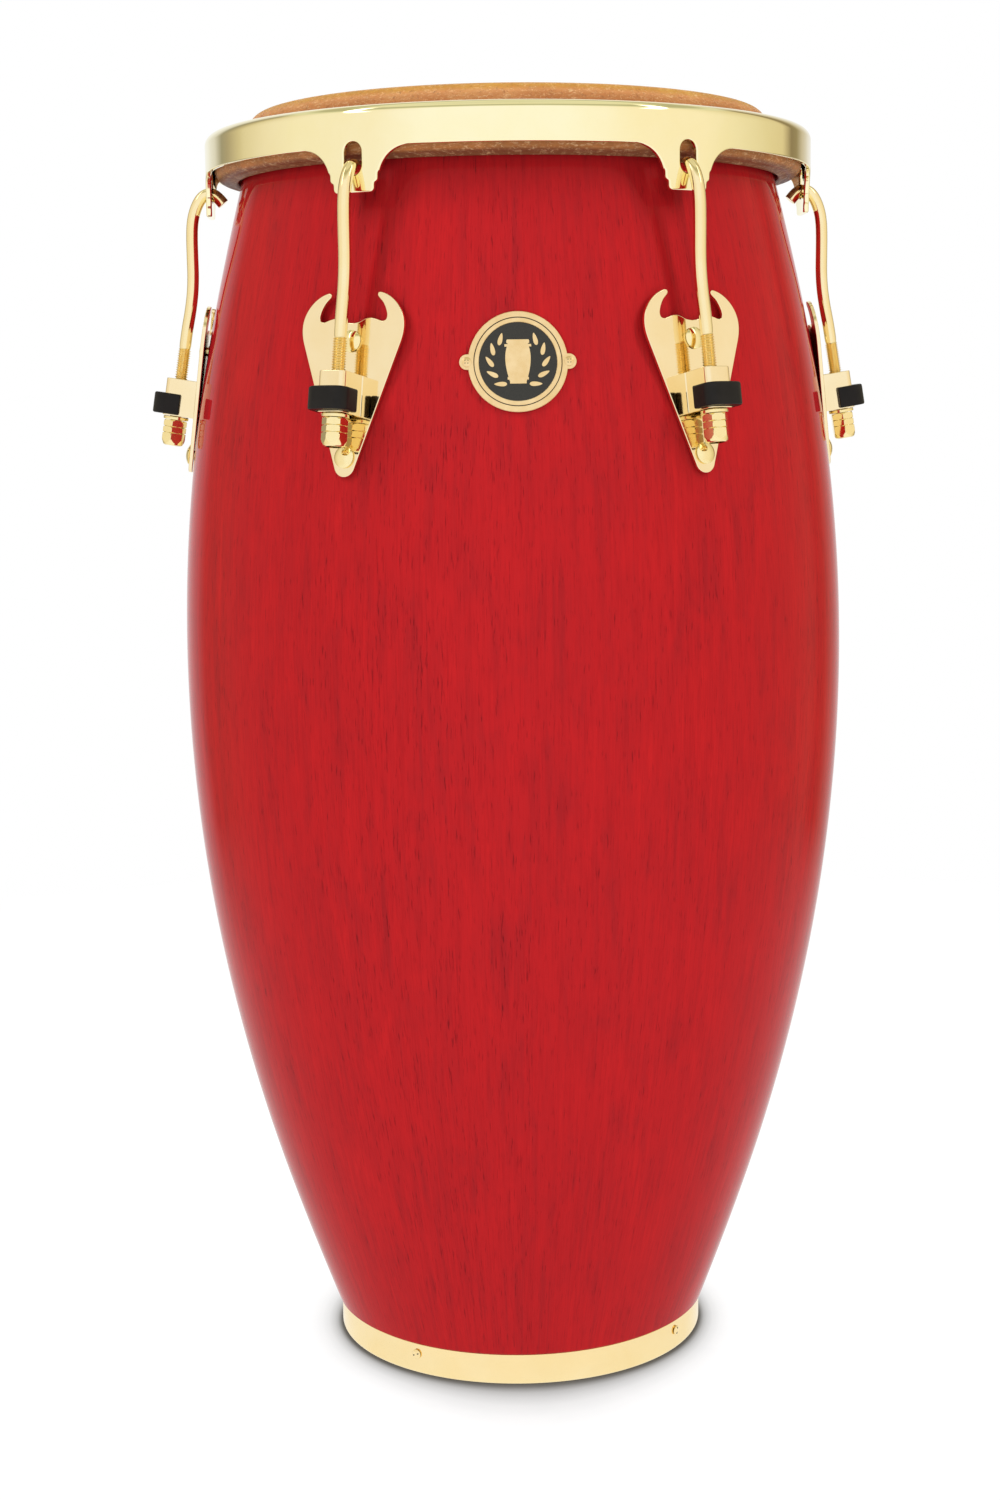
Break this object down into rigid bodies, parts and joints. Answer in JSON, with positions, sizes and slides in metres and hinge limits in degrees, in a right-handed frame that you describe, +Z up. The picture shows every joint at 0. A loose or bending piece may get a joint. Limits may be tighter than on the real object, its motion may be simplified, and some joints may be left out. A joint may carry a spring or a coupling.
{
  "type": "conga drum",
  "caption": "Tall barrel-shaped hand drum: lacquered wooden stave shell open at the foot, rawhide head under a slotted metal crown, pulled down by hooks and nuts on side plates.",
  "frame": {"origin": "on the floor, under the drum's upright axis", "axes": "+Z up along the drum's axis, -Y towards the badge, +X to the right seen from the badge side"},
  "size_m": [0.4404, 0.4058, 0.762],
  "materials": {
    "stave_wood": "transparent red lacquer, high gloss",
    "rawhide": "translucent rawhide, fibrous",
    "hoop_steel": "plain wire",
    "crown_gold": "polished pale gold plate",
    "lug_gold": "polished gold plate",
    "guard_rubber": "black, satin",
    "backing_steel": "dull zinc",
    "badge_enamel": "gold with a black enamel field"
  },
  "bodies": {
    "shell": {"shell": "stave_wood", "base_ring": "crown_gold", "drumhead": "rawhide", "badge": "badge_enamel", "badge_pin_left": "badge_enamel", "badge_pin_right": "badge_enamel", "base_screw_1": "crown_gold", "base_screw_2": "crown_gold", "base_screw_3": "crown_gold", "base_screw_4": "crown_gold", "side_plate_1": "lug_gold", "side_plate_2": "lug_gold", "side_plate_3": "lug_gold", "side_plate_4": "lug_gold", "side_plate_5": "lug_gold", "side_plate_6": "lug_gold", "rubber_guard_1": "guard_rubber", "rubber_guard_2": "guard_rubber", "rubber_guard_3": "guard_rubber", "rubber_guard_4": "guard_rubber", "rubber_guard_5": "guard_rubber", "rubber_guard_6": "guard_rubber", "lug_washer_1": "lug_gold", "lug_washer_2": "lug_gold", "lug_washer_3": "lug_gold", "lug_washer_4": "lug_gold", "lug_washer_5": "lug_gold", "lug_washer_6": "lug_gold", "plate_bolt_upper_1": "lug_gold", "plate_bolt_upper_2": "lug_gold", "plate_bolt_upper_3": "lug_gold", "plate_bolt_upper_4": "lug_gold", "plate_bolt_upper_5": "lug_gold", "plate_bolt_upper_6": "lug_gold", "plate_bolt_lower_1": "lug_gold", "plate_bolt_lower_2": "lug_gold", "plate_bolt_lower_3": "lug_gold", "plate_bolt_lower_4": "lug_gold", "plate_bolt_lower_5": "lug_gold", "plate_bolt_lower_6": "lug_gold", "backing_plate_1": "backing_steel", "backing_plate_2": "backing_steel", "backing_plate_3": "backing_steel", "backing_plate_4": "backing_steel", "backing_plate_5": "backing_steel", "backing_plate_6": "backing_steel"},
    "crown": {"crown": "crown_gold", "flesh_hoop": "hoop_steel"},
    "hook_1": {"tuning_hook_1": "lug_gold"},
    "nut_1": {"lug_nut_1": "lug_gold"},
    "hook_2": {"tuning_hook_2": "lug_gold"},
    "nut_2": {"lug_nut_2": "lug_gold"},
    "hook_3": {"tuning_hook_3": "lug_gold"},
    "nut_3": {"lug_nut_3": "lug_gold"},
    "hook_4": {"tuning_hook_4": "lug_gold"},
    "nut_4": {"lug_nut_4": "lug_gold"},
    "hook_5": {"tuning_hook_5": "lug_gold"},
    "nut_5": {"lug_nut_5": "lug_gold"},
    "hook_6": {"tuning_hook_6": "lug_gold"},
    "nut_6": {"lug_nut_6": "lug_gold"}
  },
  "joints": [
    {"name": "crown_slide", "type": "slide", "parent": "shell", "child": "crown", "axis": [0, 0, 1], "range_m": [-0.006, 0.004], "deforming": ["drumhead"]},
    {"name": "hook_1_slide", "type": "slide", "parent": "shell", "child": "hook_1", "axis": [0.079, 0.1368, 0.9874], "range_m": [-0.0061, 0.0041]},
    {"name": "nut_1_spin", "type": "hinge", "parent": "shell", "child": "nut_1", "pos_m": [-0.1016, -0.17598, 0.60186], "axis": [0.079, 0.1368, 0.9874], "range_deg": [-1036, 1556]},
    {"name": "hook_2_slide", "type": "slide", "parent": "shell", "child": "hook_2", "axis": [-0.079, 0.1368, 0.9874], "range_m": [-0.0061, 0.0041]},
    {"name": "nut_2_spin", "type": "hinge", "parent": "shell", "child": "nut_2", "pos_m": [0.1016, -0.17598, 0.60186], "axis": [-0.079, 0.1368, 0.9874], "range_deg": [-1036, 1556]},
    {"name": "hook_3_slide", "type": "slide", "parent": "shell", "child": "hook_3", "axis": [-0.158, 0, 0.9874], "range_m": [-0.0061, 0.0041]},
    {"name": "nut_3_spin", "type": "hinge", "parent": "shell", "child": "nut_3", "pos_m": [0.2032, 0, 0.60186], "axis": [-0.158, 0, 0.9874], "range_deg": [-1036, 1556]},
    {"name": "hook_4_slide", "type": "slide", "parent": "shell", "child": "hook_4", "axis": [-0.079, -0.1368, 0.9874], "range_m": [-0.0061, 0.0041]},
    {"name": "nut_4_spin", "type": "hinge", "parent": "shell", "child": "nut_4", "pos_m": [0.1016, 0.17598, 0.60186], "axis": [-0.079, -0.1368, 0.9874], "range_deg": [-1036, 1556]},
    {"name": "hook_5_slide", "type": "slide", "parent": "shell", "child": "hook_5", "axis": [0.079, -0.1368, 0.9874], "range_m": [-0.0061, 0.0041]},
    {"name": "nut_5_spin", "type": "hinge", "parent": "shell", "child": "nut_5", "pos_m": [-0.1016, 0.17598, 0.60186], "axis": [0.079, -0.1368, 0.9874], "range_deg": [-1036, 1556]},
    {"name": "hook_6_slide", "type": "slide", "parent": "shell", "child": "hook_6", "axis": [0.158, 0, 0.9874], "range_m": [-0.0061, 0.0041]},
    {"name": "nut_6_spin", "type": "hinge", "parent": "shell", "child": "nut_6", "pos_m": [-0.2032, 0, 0.60186], "axis": [0.158, 0, 0.9874], "range_deg": [-1036, 1556]}
  ],
  "couplings": [
    {"joint": "hook_1_slide", "follows": "crown_slide", "ratio": 1.0127},
    {"joint": "nut_1_spin", "follows": "crown_slide", "rad_per_m": -4509.7},
    {"joint": "hook_2_slide", "follows": "crown_slide", "ratio": 1.0127},
    {"joint": "nut_2_spin", "follows": "crown_slide", "rad_per_m": -4509.7},
    {"joint": "hook_3_slide", "follows": "crown_slide", "ratio": 1.0127},
    {"joint": "nut_3_spin", "follows": "crown_slide", "rad_per_m": -4509.7},
    {"joint": "hook_4_slide", "follows": "crown_slide", "ratio": 1.0127},
    {"joint": "nut_4_spin", "follows": "crown_slide", "rad_per_m": -4509.7},
    {"joint": "hook_5_slide", "follows": "crown_slide", "ratio": 1.0127},
    {"joint": "nut_5_spin", "follows": "crown_slide", "rad_per_m": -4509.7},
    {"joint": "hook_6_slide", "follows": "crown_slide", "ratio": 1.0127},
    {"joint": "nut_6_spin", "follows": "crown_slide", "rad_per_m": -4509.7}
  ]
}
